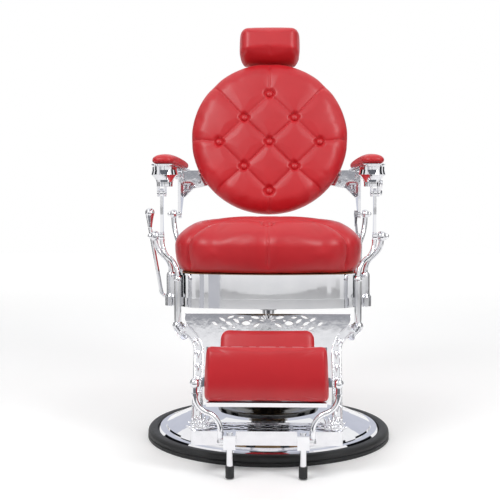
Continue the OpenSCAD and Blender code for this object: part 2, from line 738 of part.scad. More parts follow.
module foot_legs() color(chrome) boss_places() {
    y = foot_y - step_front;
    difference() {
        union() {
            translate([-leg_boss_hw, 2 * y, 0]) cube([2 * leg_boss_hw, -2 * y, step_h]);
            translate([0, y, step_h]) cylinder(r = foot_leg_r, h = 4);
        }
        // the hinge pins of the footrest arms screw in from outside
        xbar(-leg_boss_hw - 1, leg_boss_hw + 1, arm_pivot[1] - step_front, arm_pivot[2] - step_z, hinge_pin_r);
    }
    translate([0, y, tip_lift + tip_h - tip_socket - step_z]) cylinder(r = foot_leg_r, h = step_z - tip_lift - tip_h + tip_socket);
}

module foot_tips() color(black) boss_places() translate([0, foot_y - step_front, tip_lift - step_z]) difference() {
    cylinder(r = foot_leg_r + 3, h = tip_h);
    translate([0, 0, tip_h - tip_socket]) cylinder(r = foot_leg_r, h = tip_socket + 1);
}

// ---- Footrest: two arms that swing on the step, and a pad that tilts between them ----

arm_rod_r = 7;
arm_s_h = 88;
arm_eye_t = 10;

module footrest_arm() color(chrome) difference() {
    s_top = pad_pivot_z - 30;
    union() {
        xbar(foot_x + leg_boss_hw + 0.5, foot_x + leg_boss_hw + 0.5 + arm_eye_t, arm_pivot[1], arm_pivot[2], 10);
        translate([arm_low_x, arm_pivot[1], arm_pivot[2]]) cylinder(r = arm_rod_r - 2, h = s_top - arm_s_h - arm_pivot[2]);
        translate([arm_low_x, arm_pivot[1], arm_pivot[2] + 9]) cylinder(r = arm_rod_r, h = s_top - arm_s_h - arm_pivot[2] - 9);
        translate([knob_out_x, pad_y, s_top]) rotate(180) s_rod(knob_out_x - arm_low_x, arm_s_h, arm_rod_r);
        translate([knob_out_x, pad_y, s_top]) cylinder(r = arm_rod_r, h = 22);
        translate([knob_out_x, pad_y, s_top]) cylinder(r = arm_rod_r + 2, h = 5);
        translate([knob_out_x, pad_y, pad_pivot_z]) sphere(r = 13);
    }
    xbar(0, arm_low_x + 30, arm_pivot[1], arm_pivot[2], hinge_pin_r + run_gap);
    xbar(0, knob_out_x - 4, pad_y, pad_pivot_z, hinge_pin_r + run_gap);
}

module footrest_arm_left() mirror([1, 0, 0]) footrest_arm();
module footrest_arm_right() footrest_arm();

pad_bottom = pad_pivot_z - 47;
pad_back_y = pad_y + 16;
pad_thick = 44;
tray_t = 5;

// Side profile of the foot pad: flat back and a round front
function pad_profile() = concat(
    [[pad_back_y, pad_bottom + pad_h], [pad_back_y, pad_bottom]],
    [for (i = [0:10]) let (t = i / 5 - 1) [pad_back_y - pad_thick + 16 * t * t, pad_bottom + pad_h * i / 10]]);

module footrest_pad() color(red) side_plate(-pad_w / 2, pad_w / 2, pad_profile());

// Pressed pan behind the pad, with a lip under it, an ear at each side and a stub pin in each ear
module footrest_tray() color(chrome) {
    inner = pad_w / 2 - 7;
    side_plate(-inner, inner, [[pad_back_y + 0.1, pad_bottom + pad_h - 6], [pad_back_y + 0.1, pad_bottom - 0.2],
        [pad_back_y - pad_thick + 20, pad_bottom - 0.2], [pad_back_y - pad_thick + 23, pad_bottom - 11],
        [pad_back_y + tray_t, pad_bottom - 11], [pad_back_y + tray_t, pad_bottom + pad_h - 6]]);
    both_sides() {
        translate([inner - 10, pad_back_y + 0.1, pad_pivot_z - 12]) cube([pad_w / 2 + 4.5 - inner + 10, tray_t - 0.1, 24]);
        side_plate(pad_w / 2 + 0.5, pad_w / 2 + 4.5, [[pad_back_y + tray_t, pad_pivot_z - 12], [pad_back_y + tray_t, pad_pivot_z + 12],
            [pad_y - 7, pad_pivot_z + 8], [pad_y - 7, pad_pivot_z - 8]]);
        xbar(pad_w / 2 + 0.5, knob_out_x - 5, pad_y, pad_pivot_z, hinge_pin_r);
    }
}

module footrest_pins() color(steel) both_sides() xbar(foot_x - 8, arm_low_x + 8, arm_pivot[1], arm_pivot[2], hinge_pin_r);

// ---- Armrests ----

bar_z = P3[2] + eye_r + 3;
bar_t = 6;
arm_pad_t = 28;
rim_t = 3;
arm_y0 = -arm_l / 2 - 25;
bar_rear = P3[1] + eye_r + 1;
fork_gap = 3;

cup_z = P4[2] + eye_r + 6;
cup_x = lever_x - 8;
cup_r1 = 22;
cup_r2 = 34;

module armrest_frame() color(chrome) difference() {
    front_in = lever_x - lever_t / 2 - fork_gap;
    front_out = lever_x + lever_t / 2 + fork_gap;
    rear_in = bracket_x - bracket_t / 2 - fork_gap;
    rear_out = bracket_x + bracket_t / 2 + fork_gap;
    union() {
        translate([arm_x, (arm_y0 + 8 + bar_rear) / 2, bar_z]) linear_extrude(bar_t)
            polygon(round_rect(arm_w - 16, bar_rear - arm_y0 - 8, 12));
        // thin rim plate as wide as the pad
        translate([arm_x, (arm_y0 + bar_rear) / 2, bar_z + bar_t - rim_t]) linear_extrude(rim_t)
            polygon(round_rect(arm_w, bar_rear - arm_y0, 20));
        // turned cup that narrows to the front fork
        translate([cup_x, P4[1], 0]) rotate_extrude()
            polygon(concat([[0, cup_z], [cup_r1, cup_z]], [for (p = arc([cup_r1 + 30, cup_z + 6], 30, 180, 120, 5)) p],
                [[cup_r2, bar_z - 8], [cup_r2, bar_z + 1], [0, bar_z + 1]]));
        for (x = [front_in - 5, front_out]) {
            xbar(x, x + 5, P4[1], P4[2], eye_r);
            translate([x, P4[1] - 10, P4[2]]) cube([5, 20, cup_z - P4[2]]);
        }
        for (x = [rear_in - 5, rear_out]) {
            xbar(x, x + 5, P3[1], P3[2], eye_r);
            translate([x, P3[1] - 10, P3[2]]) cube([5, 20, bar_z - P3[2] + 1]);
        }
    }
    xbar(0, front_out + 6, P4[1], P4[2], pin_r);
    xbar(0, rear_out + 6, P3[1], P3[2], pin_r);
}

module armrest_frame_left() mirror([1, 0, 0]) armrest_frame();

trigger_y = P4[1];
trigger_z = cup_z + 10;
trigger_x = lever_x + lever_t / 2 + fork_gap + 9;
trigger_pin_r = 3;

module armrest_frame_right() {
    armrest_frame();
    color(chrome) xbar(cup_x, trigger_x + 5, trigger_y, trigger_z, trigger_pin_r);
}

module armrest_pad() color(red) translate([arm_x, (2 * arm_y0 + arm_l) / 2, bar_z + bar_t + seat_gap]) linear_extrude(arm_pad_t)
    polygon(round_rect(arm_w, arm_l, 20));

module armrest_pad_left() mirror([1, 0, 0]) armrest_pad();
module armrest_pad_right() armrest_pad();

module armrest_pins() color(chrome) {
    xbar(bracket_x - bracket_t / 2 - fork_gap - 6, bracket_x + bracket_t / 2 + fork_gap + 6, P3[1], P3[2], pin_r);
    xbar(lever_x - lever_t / 2 - fork_gap - 6, lever_x + lever_t / 2 + fork_gap + 6, P4[1], P4[2], pin_r);
}

module armrest_pins_left() mirror([1, 0, 0]) armrest_pins();
module armrest_pins_right() armrest_pins();

// Curved finger lever outside the right armrest that frees the back
module recline_trigger() color(chrome) difference() {
    z = trigger_z;
    union() {
        xbar(trigger_x + 0.3, trigger_x + 4.5, trigger_y, z, 7);
        side_plate(trigger_x + 0.3, trigger_x + 4.5, concat(
            [for (p = arc([trigger_y - 28, z - 34], 40, 50, 0, 8)) p], [for (p = arc([trigger_y - 28, z - 34], 34, 0, 60, 8)) p]));
    }
    xbar(trigger_x, trigger_x + 5, trigger_y, z, trigger_pin_r + run_gap);
}

// Pawl that drops between the quadrant's teeth, drawn lifted just clear of them
module recline_pawl() color(steel) difference() {
    reach = norm([rear_pivot_y - pawl_y, rear_pivot_z - pawl_z]) - quadrant_r - 1.5;
    angle = atan2(rear_pivot_z - pawl_z, rear_pivot_y - pawl_y);
    union() {
        xbar(pawl_x, pawl_x + 6, pawl_y, pawl_z, 9);
        translate([0, pawl_y, pawl_z]) rotate([angle, 0, 0]) side_plate(pawl_x, pawl_x + 6,
            [[0, -6], [reach - 6, -5], [reach, 0], [reach - 6, 5], [0, 6]]);
    }
    xbar(pawl_x - 1, pawl_x + 7, pawl_y, pawl_z, 4 + run_gap);
}

base_plate();
base_trim();
base_weight();
pump_cylinder();
pressure_tube();
pump_cover();
pump_gland();
rod_seal();
pump_bolts();
ram();
ram_piston();
piston_ring();
swivel_bearing();
swivel_hub();
seat_spider();
seat_bolts();
seat_band();
seat_board();
seat_cushion();
side_frame_left();
side_frame_right();
frame_bolts();
pivot_pins();
pump_lever();
pump_knob();
pump_plunger();
back_bracket_left();
back_bracket_right();
bracket_bolts();
recline_quadrant();
back_board();
back_shell();
back_cushion();
back_buttons();
headrest_sockets();
headrest_frame();
headrest_cushion();
side_lever_left();
side_lever_right();
leg_frame_left();
leg_frame_right();
calf_panel();
calf_pad();
foot_step();
step_grille();
foot_legs();
foot_tips();
footrest_pins();
footrest_arm_left();
footrest_arm_right();
footrest_tray();
footrest_pad();
armrest_frame_left();
armrest_frame_right();
armrest_pad_left();
armrest_pad_right();
armrest_pins_left();
armrest_pins_right();
recline_trigger();
recline_pawl();
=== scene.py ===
"""Hydraulic barber chair: buttoned red vinyl, plated steel and castings, round rubber-trimmed base."""

import json
import math

import bpy
import numpy as np
from mathutils import Matrix, Vector


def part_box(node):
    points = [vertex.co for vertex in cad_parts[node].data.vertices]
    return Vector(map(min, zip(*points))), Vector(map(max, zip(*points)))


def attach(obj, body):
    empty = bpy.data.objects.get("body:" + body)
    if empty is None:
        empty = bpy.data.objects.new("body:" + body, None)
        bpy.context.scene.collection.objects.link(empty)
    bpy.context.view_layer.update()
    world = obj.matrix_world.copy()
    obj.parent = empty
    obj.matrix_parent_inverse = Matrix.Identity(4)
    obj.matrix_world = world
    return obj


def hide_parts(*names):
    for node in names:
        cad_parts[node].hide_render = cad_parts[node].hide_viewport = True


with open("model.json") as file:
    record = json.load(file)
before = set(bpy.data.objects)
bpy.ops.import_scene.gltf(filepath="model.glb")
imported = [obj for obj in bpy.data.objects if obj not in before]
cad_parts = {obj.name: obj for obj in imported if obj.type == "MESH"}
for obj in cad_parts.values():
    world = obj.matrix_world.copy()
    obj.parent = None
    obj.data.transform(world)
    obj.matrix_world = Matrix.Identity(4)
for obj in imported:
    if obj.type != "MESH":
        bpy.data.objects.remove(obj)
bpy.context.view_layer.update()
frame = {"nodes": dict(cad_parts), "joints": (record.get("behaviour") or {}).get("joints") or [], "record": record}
nodes = frame["nodes"]
joints = {joint["name"]: joint for joint in frame["joints"]}
MM = 0.001


# ---- Camera, floor and light ----

CAMERA_AT = (0.027, -2.68, 0.69)
CAMERA_TILT = math.radians(-3.1)
CAMERA_TURN = math.radians(1.74)
LENS_MM = 65.6


def set_camera():
    camera = bpy.data.cameras.new("studio_camera")
    camera.lens = LENS_MM
    camera.sensor_width = 36
    holder = bpy.data.objects.new("studio_camera", camera)
    holder.location = CAMERA_AT
    holder.rotation_euler = (math.pi / 2 + CAMERA_TILT, 0, CAMERA_TURN)
    bpy.context.scene.collection.objects.link(holder)
    bpy.context.scene.camera = holder


def linear(hex_colour):
    """An sRGB hex colour as linear RGBA."""
    parts = [int(hex_colour[i : i + 2], 16) / 255 for i in (1, 3, 5)]
    return tuple(c / 12.92 if c <= 0.04045 else ((c + 0.055) / 1.055) ** 2.4 for c in parts) + (1.0,)


def add(tree, kind, settings=None, **links):
    """Adds a node. settings fills its properties and sockets, links joins its inputs to other sockets."""
    node = tree.nodes.new(kind)
    for key, value in (settings or {}).items():
        if isinstance(key, str) and hasattr(node, key):
            setattr(node, key, value)
        else:
            node.inputs[key].default_value = value
    for key, source in links.items():
        socket = node.inputs[int(key[1:])] if key[0] == "_" else node.inputs[key.replace("_", " ")]
        tree.links.new(source, socket)
    return node


def new_material(name):
    """A material with one Principled shader, and the tree to build on."""
    material = bpy.data.materials.new(name)
    material.use_nodes = True
    tree = material.node_tree
    tree.nodes.clear()
    shader = tree.nodes.new("ShaderNodeBsdfPrincipled")
    output = tree.nodes.new("ShaderNodeOutputMaterial")
    tree.links.new(shader.outputs["BSDF"], output.inputs["Surface"])
    place = tree.nodes.new("ShaderNodeTexCoord").outputs["Object"]
    return material, tree, shader, place


def mix_colours(tree, factor, first, second):
    """A colour that runs between two hex colours as the factor goes from 0 to 1."""
    ramp = tree.nodes.new("ShaderNodeValToRGB")
    ramp.color_ramp.elements[0].color = linear(first)
    ramp.color_ramp.elements[1].color = linear(second)
    tree.links.new(factor, ramp.inputs["Fac"])
    return ramp.outputs["Color"]


def noise(tree, place, size_mm, detail):
    """Cloudy variation whose patches are about size_mm across."""
    node = add(tree, "ShaderNodeTexNoise", {"Scale": 1 / (size_mm * MM), "Detail": detail}, Vector=place)
    return node.outputs["Fac"]


def spread(tree, factor, low, high):
    """A factor of 0 to 1 carried to the range low to high."""
    return add(tree, "ShaderNodeMapRange", {"To Min": low, "To Max": high}, Value=factor).outputs["Result"]


def polished_plate():
    """Nickel-chrome plate on pressed steel: a mirror, with faint swirls from the polishing mop."""
    material, tree, shader, place = new_material("polished_chrome_plate")
    swirl = noise(tree, place, 40, 4.0)
    shader.inputs["Metallic"].default_value = 1.0
    tree.links.new(mix_colours(tree, swirl, "#E4E5E9", "#F4F4F6"), shader.inputs["Base Color"])
    tree.links.new(spread(tree, swirl, 0.015, 0.04), shader.inputs["Roughness"])
    bump = add(tree, "ShaderNodeBump", {"Strength": 0.05, "Distance": 0.4 * MM}, Height=swirl)
    tree.links.new(bump.outputs["Normal"], shader.inputs["Normal"])
    return material


def polished_casting():
    """Sand-cast metal, ground, buffed and plated: bright, with soft waves left by the hand grinding."""
    material, tree, shader, place = new_material("polished_plated_casting")
    wave = noise(tree, place, 22, 2.0)
    grain = noise(tree, place, 1.6, 3.0)
    shader.inputs["Metallic"].default_value = 1.0
    tree.links.new(mix_colours(tree, wave, "#DCDDE1", "#EFEFF2"), shader.inputs["Base Color"])
    tree.links.new(spread(tree, grain, 0.04, 0.1), shader.inputs["Roughness"])
    edge = add(tree, "ShaderNodeBevel", {"Radius": 1.2 * MM, "samples": 4})
    soft = add(tree, "ShaderNodeBump", {"Strength": 0.12, "Distance": 1.2 * MM},
               Height=wave, Normal=edge.outputs["Normal"])
    fine = add(tree, "ShaderNodeBump", {"Strength": 0.08, "Distance": 0.1 * MM},
               Height=grain, Normal=soft.outputs["Normal"])
    tree.links.new(fine.outputs["Normal"], shader.inputs["Normal"])
    return material


def turned_steel():
    """Zinc-plated turned steel: greyer and softer than chrome, with fine tool marks."""
    material, tree, shader, place = new_material("zinc_plated_steel")
    marks = noise(tree, place, 0.9, 5.0)
    shader.inputs["Metallic"].default_value = 1.0
    tree.links.new(mix_colours(tree, marks, "#9C9DA1", "#C2C3C6"), shader.inputs["Base Color"])
    tree.links.new(spread(tree, marks, 0.22, 0.4), shader.inputs["Roughness"])
    bump = add(tree, "ShaderNodeBump", {"Strength": 0.2, "Distance": 0.1 * MM}, Height=marks)
    tree.links.new(bump.outputs["Normal"], shader.inputs["Normal"])
    return material


def painted_iron():
    """Grey iron with satin black paint: the sand of the mould shows through as a soft grain."""
    material, tree, shader, place = new_material("painted_cast_iron")
    sand = noise(tree, place, 2.2, 6.0)
    tree.links.new(mix_colours(tree, sand, "#17181A", "#2B2C2F"), shader.inputs["Base Color"])
    tree.links.new(spread(tree, sand, 0.4, 0.62), shader.inputs["Roughness"])
    bump = add(tree, "ShaderNodeBump", {"Strength": 0.5, "Distance": 0.5 * MM}, Height=sand)
    tree.links.new(bump.outputs["Normal"], shader.inputs["Normal"])
    return material


def stove_enamel():
    """Glossy black stoving enamel on a spun bell: deep black with a clear, slightly wavy shine."""
    material, tree, shader, place = new_material("black_stove_enamel")
    flow = noise(tree, place, 9, 2.0)
    tree.links.new(mix_colours(tree, flow, "#08080A", "#141417"), shader.inputs["Base Color"])
    tree.links.new(spread(tree, flow, 0.1, 0.18), shader.inputs["Roughness"])
    shader.inputs["IOR"].default_value = 1.5
    shader.inputs["Coat Weight"].default_value = 0.6
    shader.inputs["Coat Roughness"].default_value = 0.05
    bump = add(tree, "ShaderNodeBump", {"Strength": 0.1, "Distance": 0.3 * MM}, Height=flow)
    tree.links.new(bump.outputs["Normal"], shader.inputs["Normal"])
    return material


def ribbed_rubber():
    """Moulded black rubber: dull, with fine ribs across the ring about 5 mm apart and a dusty bloom."""
    material, tree, shader, place = new_material("moulded_black_rubber")
    ribs = 420.0
    split = add(tree, "ShaderNodeSeparateXYZ", None, Vector=place)
    angle = add(tree, "ShaderNodeMath", {"operation": "ARCTAN2"},
                _0=split.outputs["Y"], _1=split.outputs["X"])
    turns = add(tree, "ShaderNodeMath", {"operation": "MULTIPLY", 1: ribs}, _0=angle.outputs[0])
    rib = add(tree, "ShaderNodeMath", {"operation": "SINE"}, _0=turns.outputs[0]).outputs[0]
    bloom = noise(tree, place, 12, 5.0)
    tree.links.new(mix_colours(tree, bloom, "#08090A", "#15161A"), shader.inputs["Base Color"])
    tree.links.new(spread(tree, bloom, 0.42, 0.6), shader.inputs["Roughness"])
    shader.inputs["IOR"].default_value = 1.52
    first = add(tree, "ShaderNodeBump", {"Strength": 0.35, "Distance": 0.6 * MM}, Height=rib)
    second = add(tree, "ShaderNodeBump", {"Strength": 0.25, "Distance": 0.3 * MM},
                 Height=bloom, Normal=first.outputs["Normal"])
    tree.links.new(second.outputs["Normal"], shader.inputs["Normal"])
    return material


def birch_ply():
    """Sealed birch plywood: pale brown, with a long grain on the face."""
    material, tree, shader, place = new_material("birch_plywood")
    grain = add(tree, "ShaderNodeTexWave", {"Scale": 1 / (30 * MM), "Distortion": 6.0, "Detail": 3.0},
                Vector=place)
    tree.links.new(mix_colours(tree, grain.outputs["Fac"], "#A98459", "#C9A877"), shader.inputs["Base Color"])
    tree.links.new(spread(tree, grain.outputs["Fac"], 0.5, 0.65), shader.inputs["Roughness"])
    bump = add(tree, "ShaderNodeBump", {"Strength": 0.2, "Distance": 0.2 * MM}, Height=grain.outputs["Fac"])
    tree.links.new(bump.outputs["Normal"], shader.inputs["Normal"])
    return material


def red_vinyl():
    """Expanded PVC on knitted cloth, embossed with a leather grain of about 1.3 mm cells and satin lacquered:
    soft broad highlights, slightly deeper red in the valleys."""
    material, tree, shader, place = new_material("embossed_red_vinyl")
    cells = add(tree, "ShaderNodeTexVoronoi", {"Scale": 1 / (1.9 * MM), "feature": "SMOOTH_F1"},
                Vector=place).outputs["Distance"]
    pores = noise(tree, place, 0.8, 3.0)
    stretch = noise(tree, place, 70, 3.0)
    tree.links.new(mix_colours(tree, stretch, "#C4121E", "#D21A26"), shader.inputs["Base Color"])
    tree.links.new(spread(tree, pores, 0.34, 0.46), shader.inputs["Roughness"])
    shader.inputs["IOR"].default_value = 1.5
    shader.inputs["Sheen Weight"].default_value = 0.08
    shader.inputs["Coat Weight"].default_value = 0.12
    shader.inputs["Coat Roughness"].default_value = 0.28
    grain = add(tree, "ShaderNodeBump", {"Strength": 0.22, "Distance": 0.35 * MM}, Height=cells)
    fine = add(tree, "ShaderNodeBump", {"Strength": 0.15, "Distance": 0.15 * MM},
               Height=pores, Normal=grain.outputs["Normal"])
    tree.links.new(fine.outputs["Normal"], shader.inputs["Normal"])
    return material


def studio_floor_paint():
    """Matt white studio paint with a faint roller texture."""
    material, tree, shader, place = new_material("white_studio_floor")
    roller = noise(tree, place, 6, 2.0)
    tree.links.new(mix_colours(tree, roller, "#FDFDFD", "#FFFFFF"), shader.inputs["Base Color"])
    shader.inputs["Roughness"].default_value = 0.7
    shader.inputs["Emission Color"].default_value = linear("#FFFFFF")
    shader.inputs["Emission Strength"].default_value = 0.07
    return material


def area_light(name, at, aim, size, watts, tint="#FFFFFF"):
    light = bpy.data.lights.new(name, "AREA")
    light.shape = "RECTANGLE"
    light.size, light.size_y = size
    light.energy = watts
    light.color = linear(tint)[:3]
    holder = bpy.data.objects.new(name, light)
    holder.location = at
    holder.rotation_euler = (Vector(aim) - Vector(at)).to_track_quat("-Z", "Y").to_euler()
    bpy.context.scene.collection.objects.link(holder)


def card(name, at, aim, size, shade, mirrored=True, soaks_light=False):
    """A studio card hidden from the camera: mirrored in the chrome, shading the matt surfaces, or both."""
    w, h = size[0] / 2, size[1] / 2
    mesh = bpy.data.meshes.new(name)
    mesh.from_pydata([(-w, -h, 0), (w, -h, 0), (w, h, 0), (-w, h, 0)], [], [(0, 1, 2, 3)])
    piece = bpy.data.objects.new(name, mesh)
    piece.location = at
    piece.rotation_euler = (Vector(aim) - Vector(at)).to_track_quat("-Z", "Y").to_euler()
    material = bpy.data.materials.new(name)
    material.use_nodes = True
    tree = material.node_tree
    tree.nodes.clear()
    glow = add(tree, "ShaderNodeEmission", {"Color": linear(shade), "Strength": 1.0})
    add(tree, "ShaderNodeOutputMaterial", None, Surface=glow.outputs["Emission"])
    mesh.materials.append(material)
    bpy.context.scene.collection.objects.link(piece)
    piece.visible_camera = False
    piece.visible_shadow = False
    piece.visible_glossy = mirrored
    piece.visible_diffuse = soaks_light


# name, place, size, shade: where the tent has its camera slot, stands and grey sides
CARDS = [
    ("camera_slot", (-0.03, -2.85, 1.2), (0.16, 2.4), "#060607"),
    ("front_left_grey", (-1.95, -2.8, 1.2), (1.2, 2.6), "#C3C4C9"),
    ("front_high_grey", (0.0, -2.4, 2.7), (3.6, 0.8), "#A2A3A8"),
    ("side_left_dark", (-2.3, 1.3, 1.2), (1.3, 2.4), "#131416"),
    ("side_right_dark", (2.3, 1.3, 1.2), (1.3, 2.4), "#131416"),
    ("side_left_stand", (-2.6, -0.5, 1.2), (1.0, 2.4), "#2A2B2F"),
    ("side_right_stand", (2.6, -0.5, 1.2), (1.0, 2.4), "#2A2B2F"),
    ("back_wall_blue", (0.0, 3.2, 1.2), (4.0, 1.6), "#CDD0DC"),
    ("roof_grey", (0.0, -0.6, 3.1), (2.6, 1.2), "#B9BBC6"),
]

# Black cloths that hold the tent's light off the sides, so that the softboxes can shape the cushions
CLOTHS = [
    ("front_cloth", (0.0, -4.2, 1.6), (8.0, 4.0)),
    ("left_cloth", (-3.6, -0.5, 1.5), (7.0, 3.6)),
    ("right_cloth", (3.6, -0.5, 1.5), (7.0, 3.6)),
]


def set_studio():
    world = bpy.data.worlds.new("white_tent")
    world.use_nodes = True
    world.node_tree.nodes["Background"].inputs["Color"].default_value = linear("#FFFFFF")
    world.node_tree.nodes["Background"].inputs["Strength"].default_value = 1.0
    bpy.context.scene.world = world
    size = 9.0
    mesh = bpy.data.meshes.new("studio_floor")
    corners = [(-size, -size, 0), (size, -size, 0), (size, size, 0), (-size, size, 0)]
    mesh.from_pydata(corners, [], [(0, 1, 2, 3)])
    floor = bpy.data.objects.new("studio_floor", mesh)
    mesh.materials.append(studio_floor_paint())
    bpy.context.scene.collection.objects.link(floor)
    area_light("key_softbox", (-1.5, -2.2, 2.9), (0, 0, 0.8), (1.3, 1.3), 42)
    area_light("fill_softbox", (1.8, -2.1, 2.6), (0, 0, 0.8), (1.0, 1.4), 34)
    for name, at, size, shade in CARDS:
        card(name, at, (0, 0, 0.9), size, shade)
    for name, at, size in CLOTHS:
        card(name, at, (0, 0, 0.9), size, "#050506", mirrored=False, soaks_light=True)
    card("front_floor_cloth", (0, -1.75, 0.004), (0, -1.75, 1), (3.4, 1.7), "#77797E", soaks_light=True)
    bpy.context.scene.view_settings.view_transform = "Standard"
    bpy.context.scene.view_settings.look = "None"


# ---- Soft pieces: closed crowned shells over an outline ----


def rounded_outline(width, height, corner, steps=10):
    """A rectangle with round corners, centred, counter-clockwise."""
    points = []
    for sx, sy, start in ((1, 1, 0), (-1, 1, 90), (-1, -1, 180), (1, -1, 270)):
        centre = (sx * (width / 2 - corner), sy * (height / 2 - corner))
        for i in range(steps + 1):
            a = math.radians(start + 90 * i / steps)
            points.append((centre[0] + corner * math.cos(a), centre[1] + corner * math.sin(a)))
    return points


def disc_outline(radius, steps=180):
    angles = [2 * math.pi * i / steps for i in range(steps)]
    return [(radius * math.cos(a), radius * math.sin(a)) for a in angles]


def seat_outline(half, front, rear, bow, front_corner, rear_corner):
    """Straight sides, round corners and a bowed front, counter-clockwise from the front's left end."""
    points = []
    for i in range(-12, 13):
        points.append((i / 12 * (half - front_corner), -front + bow * (i / 12) ** 2))
    corners = ((1, -front + bow + front_corner, front_corner, -80, 0),
               (1, rear - rear_corner, rear_corner, 0, 90),
               (-1, rear - rear_corner, rear_corner, 90, 180),
               (-1, -front + bow + front_corner, front_corner, 180, 260))
    for side, centre_y, radius, start, stop in corners:
        for i in range(15):
            a = math.radians(start + (stop - start) * i / 14)
            points.append((side * (half - radius) + radius * math.cos(a), centre_y + radius * math.sin(a)))
    return points


def resample(points, count):
    """The closed outline again, with count points at equal spacing."""
    closed = np.array(points + points[:1], float)
    steps = np.linalg.norm(np.diff(closed, axis=0), axis=1)
    along = np.concatenate([[0], np.cumsum(steps)])
    wanted = np.linspace(0, along[-1], count, endpoint=False)
    return np.column_stack([np.interp(wanted, along, closed[:, i]) for i in (0, 1)])


def edge_distance(u, v, outline):
    """Distance of each point in the outline to its nearest edge."""
    starts = outline
    ends = np.roll(outline, -1, axis=0)
    best = np.full(u.shape, 1e9)
    for (ax, ay), (bx, by) in zip(starts, ends):
        length = max((bx - ax) ** 2 + (by - ay) ** 2, 1e-12)
        t = np.clip(((u - ax) * (bx - ax) + (v - ay) * (by - ay)) / length, 0, 1)
        best = np.minimum(best, np.hypot(u - ax - t * (bx - ax), v - ay - t * (by - ay)))
    return best


def rolled_edge(distance, roll, height, power=2.4):
    """Height of a rolled edge: nothing at the rim, the full height one roll width in."""
    inside = np.clip(distance / roll, 0, 1)
    return height * (1 - (1 - inside) ** power) ** (1 / power)


def segment_distance(u, v, start, end):
    (ax, ay), (bx, by) = start, end
    length = (bx - ax) ** 2 + (by - ay) ** 2
    t = np.clip(((u - ax) * (bx - ax) + (v - ay) * (by - ay)) / length, 0, 1)
    return np.hypot(u - ax - t * (bx - ax), v - ay - t * (by - ay))


def tufting(u, v, buttons, creases, pull=0.02, crease=0.008):
    """How far the cover is drawn in: a dimple at each button, and a crease along each fold between them."""
    depth = np.zeros(u.shape)
    for start, end, share in creases:
        away = segment_distance(u, v, start, end)
        fold = 0.55 * np.exp(-away / 0.0034) + 0.45 * np.exp(-((away / 0.021) ** 2))
        depth = np.maximum(depth, share * crease * fold)
    for x, y in buttons:
        away = np.hypot(u - x, v - y)
        dimple = 0.6 * np.exp(-((away / 0.0165) ** 4)) + 0.4 * np.exp(-away / 0.026)
        depth = np.maximum(depth, pull * dimple)
    return depth


def shell(name, outline, front, back, place, around=120, rings=22):
    """A closed shell: front and back (u, v, d) give its two faces, and place carries it into the chair."""
    edge = resample(outline, around)
    centre = edge.mean(axis=0)
    shares = np.sin(np.linspace(0, math.pi / 2, rings + 1))[1:]
    flat = [np.zeros((1, 2)) + centre] + [centre + share * (edge - centre) for share in shares]
    front_points = np.concatenate(flat)
    back_points = np.concatenate(flat[:-1])
    verts = []
    for points, face in ((front_points, front), (back_points, back)):
        u, v = points[:, 0], points[:, 1]
        verts.append(np.column_stack([u, v, face(u, v, edge_distance(u, v, edge))]))
    total = len(front_points)
    rim = 1 + (rings - 1) * around
    faces = []
    for hub, last, turn in ((0, rim, 1), (total, rim, -1)):
        starts = [hub + 1 + ring * around for ring in range(rings - 1)] + [last]
        for i in range(around):
            j = (i + 1) % around
            faces.append((hub, starts[0] + i, starts[0] + j)[::turn])
            for a, b in zip(starts, starts[1:]):
                faces.append((a + i, b + i, b + j, a + j)[::turn])
    return new_piece(name, [place @ Vector(p) for p in np.concatenate(verts)], faces)


def new_piece(name, verts, faces):
    mesh = bpy.data.meshes.new(name)
    mesh.from_pydata(verts, [], faces)
    mesh.shade_smooth()
    piece = bpy.data.objects.new(name, mesh)
    bpy.context.scene.collection.objects.link(piece)
    return piece


def positions(mesh):
    flat = np.empty(3 * len(mesh.vertices))
    mesh.vertices.foreach_get("co", flat)
    return flat.reshape(-1, 3)


def normals(mesh):
    flat = np.empty(3 * len(mesh.vertices))
    mesh.vertex_normals.foreach_get("vector", flat)
    return flat.reshape(-1, 3)


def set_positions(mesh, points):
    mesh.vertices.foreach_set("co", points.ravel())
    mesh.update()


def bake(piece):
    """Applies the piece's modifiers to its mesh."""
    solved = piece.evaluated_get(bpy.context.evaluated_depsgraph_get())
    mesh = bpy.data.meshes.new_from_object(solved)
    piece.modifiers.clear()
    piece.data = mesh
    mesh.shade_smooth()


def plump(piece, cap, pressure=4.0):
    """Blows the cover up with air, each point moving no further than the cap, and keeps the result."""
    before = positions(piece.data)
    cloth = piece.modifiers.new("air", "CLOTH")
    cloth.settings.use_pressure = True
    cloth.settings.uniform_pressure_force = pressure
    cloth.settings.effector_weights.gravity = 0
    cloth.settings.tension_stiffness = 40
    cloth.collision_settings.use_collision = False
    for step in range(1, 21):
        bpy.context.scene.frame_set(step)
    solved = piece.evaluated_get(bpy.context.evaluated_depsgraph_get())
    move = positions(solved.data) - before
    piece.modifiers.remove(cloth)
    length = np.maximum(np.linalg.norm(move, axis=1, keepdims=True), 1e-9)
    set_positions(piece.data, before + move * np.minimum(1, cap / length))
    bpy.context.scene.frame_set(1)


def refine(piece, levels):
    step = piece.modifiers.new("refine", "SUBSURF")
    step.levels = step.render_levels = levels
    bake(piece)


def draw_in(piece, place, depth, low, high):
    """Pulls the cover in by depth(u, v) along its normals, fading out between the heights high and low."""
    to_flat = np.array(place.inverted())
    points = positions(piece.data)
    flat = points @ to_flat[:3, :3].T + to_flat[:3, 3]
    share = np.clip((flat[:, 2] - low) / (high - low), 0, 1)
    share = share * share * (3 - 2 * share)
    move = depth(flat[:, 0], flat[:, 1]) * share
    set_positions(piece.data, points - move[:, None] * normals(piece.data))


